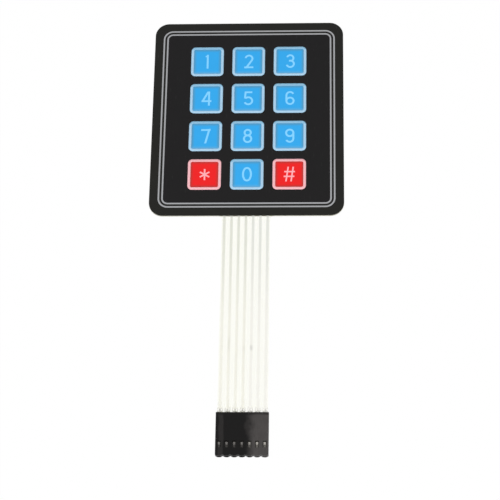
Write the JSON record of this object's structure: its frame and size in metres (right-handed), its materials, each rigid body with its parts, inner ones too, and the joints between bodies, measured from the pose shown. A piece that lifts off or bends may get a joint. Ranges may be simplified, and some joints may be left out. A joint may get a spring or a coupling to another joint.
{
  "type": "membrane keypad",
  "caption": "Flat membrane keypad with raised key rims, printed silver traces on a clear film tail, and a black crimp socket housing that plugs onto a pin header.",
  "frame": {"origin": "centre of the panel's back face, on the liner's outer side", "axes": "+Z out of the keys' face, +Y up the key columns, with the tail running along -Y, +X to the right of the legends"},
  "size_m": [0.069, 0.1641, 0.0025],
  "materials": {
    "overlay_print": "fine satin film",
    "clear_adhesive": "clear adhesive film",
    "circuit_film": "clear polyester film",
    "spacer_film": "clear double-sided adhesive film",
    "silver_ink": "matt silver ink",
    "foam_adhesive": "adhesive film",
    "liner_paper": "waxed paper",
    "housing_plastic": "moulded black plastic",
    "contact_metal": "tin plated bronze strip"
  },
  "bodies": {
    "root": {"graphic_overlay": "overlay_print", "overlay_adhesive": "clear_adhesive", "upper_circuit_film": "circuit_film", "lower_circuit_film": "circuit_film", "circuit_spacer": "spacer_film", "column_trace_1": "silver_ink", "column_trace_2": "silver_ink", "column_trace_3": "silver_ink", "row_trace_1": "silver_ink", "row_trace_2": "silver_ink", "row_trace_3": "silver_ink", "row_trace_4": "silver_ink", "rear_adhesive": "foam_adhesive", "release_liner": "liner_paper", "connector_housing": "housing_plastic", "contact_1": "contact_metal", "contact_2": "contact_metal", "contact_3": "contact_metal", "contact_4": "contact_metal", "contact_5": "contact_metal", "contact_6": "contact_metal", "contact_7": "contact_metal"}
  },
  "joints": []
}
